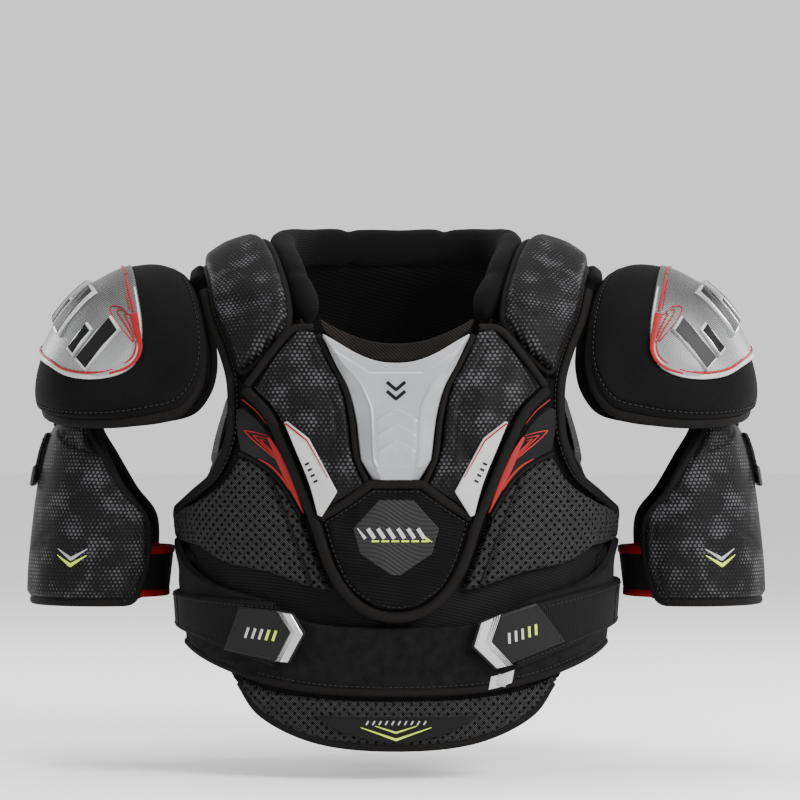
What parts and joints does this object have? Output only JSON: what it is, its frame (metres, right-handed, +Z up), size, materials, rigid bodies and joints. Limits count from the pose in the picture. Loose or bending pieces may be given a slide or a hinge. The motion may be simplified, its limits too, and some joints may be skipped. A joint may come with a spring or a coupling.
{
  "type": "hockey shoulder pads",
  "caption": "Ice hockey shoulder pads with hinged front and back, shoulder caps, biceps guards, side straps and a belly extension.",
  "frame": {"origin": "centre of the wearer's neck at collarbone height, where the pads hang from the shoulders", "axes": "+X to the wearer's left, +Y to the wearer's back, +Z up; the chest faces -Y"},
  "size_m": [0.5842, 0.287, 0.4064],
  "materials": {
    "knit_fabric": "black knit over foam",
    "printed_fabric": "black fabric with a grey dot print",
    "spacer_mesh": "open black and grey spacer mesh",
    "loop_fabric": "brushed black loop fabric",
    "liner_fabric": "smooth black liner",
    "binding_tape": "stitched black binding and webbing",
    "sternum_plastic": "pearl white moulding",
    "white_film": "white coated fabric",
    "silver_film": "silver coated insert with red lines",
    "red_graphic": "black weave with red lines",
    "badge_rubber": "dark grey moulded badge",
    "hard_shell": "black moulded shell"
  },
  "bodies": {
    "back_half": {"back_liner": "liner_fabric", "spine_pad": "knit_fabric", "lower_back_pad": "spacer_mesh", "collar_back": "knit_fabric", "scapula_pad_left": "spacer_mesh", "trap_pad_back_left": "printed_fabric", "shoulder_arch_left": "knit_fabric", "strap_anchor_left": "binding_tape", "scapula_pad_right": "spacer_mesh", "trap_pad_back_right": "printed_fabric", "shoulder_arch_right": "knit_fabric", "strap_anchor_right": "binding_tape"},
    "front_half": {"sternum_plate": "sternum_plastic", "centre_pad": "knit_fabric", "centre_badge": "badge_rubber", "bib_piping": "binding_tape", "belly_band": "loop_fabric", "neckline_band": "spacer_mesh", "size_label": "white_film", "front_liner_left": "liner_fabric", "chest_pad_left": "printed_fabric", "side_mesh_pad_left": "spacer_mesh", "graphic_insert_left": "red_graphic", "accent_insert_left": "white_film", "trap_pad_front_left": "printed_fabric", "armhole_piping_left": "binding_tape", "collar_front_left": "knit_fabric", "front_liner_right": "liner_fabric", "chest_pad_right": "printed_fabric", "side_mesh_pad_right": "spacer_mesh", "graphic_insert_right": "red_graphic", "accent_insert_right": "white_film", "trap_pad_front_right": "printed_fabric", "armhole_piping_right": "binding_tape", "collar_front_right": "knit_fabric"},
    "belly_extension": {"extension_pad": "spacer_mesh", "extension_hook_tongue": "loop_fabric", "extension_label": "badge_rubber"},
    "side_strap_left": {"side_strap_left": "binding_tape", "strap_badge_left": "badge_rubber"},
    "shoulder_cap_left": {"cap_pad_left": "knit_fabric", "cap_shell_left": "hard_shell", "cap_insert_left": "silver_film", "cap_piping_left": "binding_tape"},
    "hanger_tab_left": {"hanger_tab_left": "binding_tape"},
    "hanger_strap_left": {"hanger_strap_left": "binding_tape"},
    "biceps_guard_left": {"biceps_liner_left": "liner_fabric", "biceps_guard_left": "printed_fabric", "arm_strap_left": "binding_tape"},
    "side_strap_right": {"side_strap_right": "binding_tape", "strap_badge_right": "badge_rubber"},
    "shoulder_cap_right": {"cap_pad_right": "knit_fabric", "cap_shell_right": "hard_shell", "cap_insert_right": "silver_film", "cap_piping_right": "binding_tape"},
    "hanger_tab_right": {"hanger_tab_right": "binding_tape"},
    "hanger_strap_right": {"hanger_strap_right": "binding_tape"},
    "biceps_guard_right": {"biceps_liner_right": "liner_fabric", "biceps_guard_right": "printed_fabric", "arm_strap_right": "binding_tape"}
  },
  "joints": [
    {"name": "front_open", "type": "hinge", "parent": "back_half", "child": "front_half", "pos_m": [0, 0, 0.058], "axis": [-1, 0, 0], "range_deg": [0, 14]},
    {"name": "extension_slide", "type": "slide", "parent": "front_half", "child": "belly_extension", "axis": [0, 0, -1], "range_m": [0, 0.03]},
    {"name": "side_strap_left_open", "type": "hinge", "parent": "back_half", "child": "side_strap_left", "pos_m": [0.179, -0.03, -0.255], "axis": [0, 0, 1], "range_deg": [0, 72]},
    {"name": "cap_left_lift", "type": "hinge", "parent": "back_half", "child": "shoulder_cap_left", "pos_m": [0.152, 0, 0.018], "axis": [0, -1, 0], "range_deg": [0, 40]},
    {"name": "hanger_left_swing", "type": "hinge", "parent": "shoulder_cap_left", "child": "hanger_tab_left", "pos_m": [0.269, 0.005, -0.092], "axis": [1, 0, 0], "range_deg": [-25, 25]},
    {"name": "biceps_guard_left_flare", "type": "hinge", "parent": "hanger_tab_left", "child": "hanger_strap_left", "pos_m": [0.275, 0.005, -0.1025], "axis": [0, -1, 0], "range_deg": [0, 45]},
    {"name": "biceps_guard_left_height", "type": "slide", "parent": "hanger_strap_left", "child": "biceps_guard_left", "axis": [0.1093, 0, -0.994], "range_m": [0, 0.025]},
    {"name": "side_strap_right_open", "type": "hinge", "parent": "back_half", "child": "side_strap_right", "pos_m": [-0.179, -0.03, -0.255], "axis": [0, 0, -1], "range_deg": [0, 72]},
    {"name": "cap_right_lift", "type": "hinge", "parent": "back_half", "child": "shoulder_cap_right", "pos_m": [-0.152, 0, 0.018], "axis": [0, 1, 0], "range_deg": [0, 40]},
    {"name": "hanger_right_swing", "type": "hinge", "parent": "shoulder_cap_right", "child": "hanger_tab_right", "pos_m": [-0.269, 0.005, -0.092], "axis": [1, 0, 0], "range_deg": [-25, 25]},
    {"name": "biceps_guard_right_flare", "type": "hinge", "parent": "hanger_tab_right", "child": "hanger_strap_right", "pos_m": [-0.275, 0.005, -0.1025], "axis": [0, 1, 0], "range_deg": [0, 45]},
    {"name": "biceps_guard_right_height", "type": "slide", "parent": "hanger_strap_right", "child": "biceps_guard_right", "axis": [-0.1093, 0, -0.994], "range_m": [0, 0.025]}
  ],
  "couplings": [
    {"joint": "side_strap_left_open", "follows": "front_open", "ratio": 5},
    {"joint": "side_strap_right_open", "follows": "front_open", "ratio": 5}
  ]
}
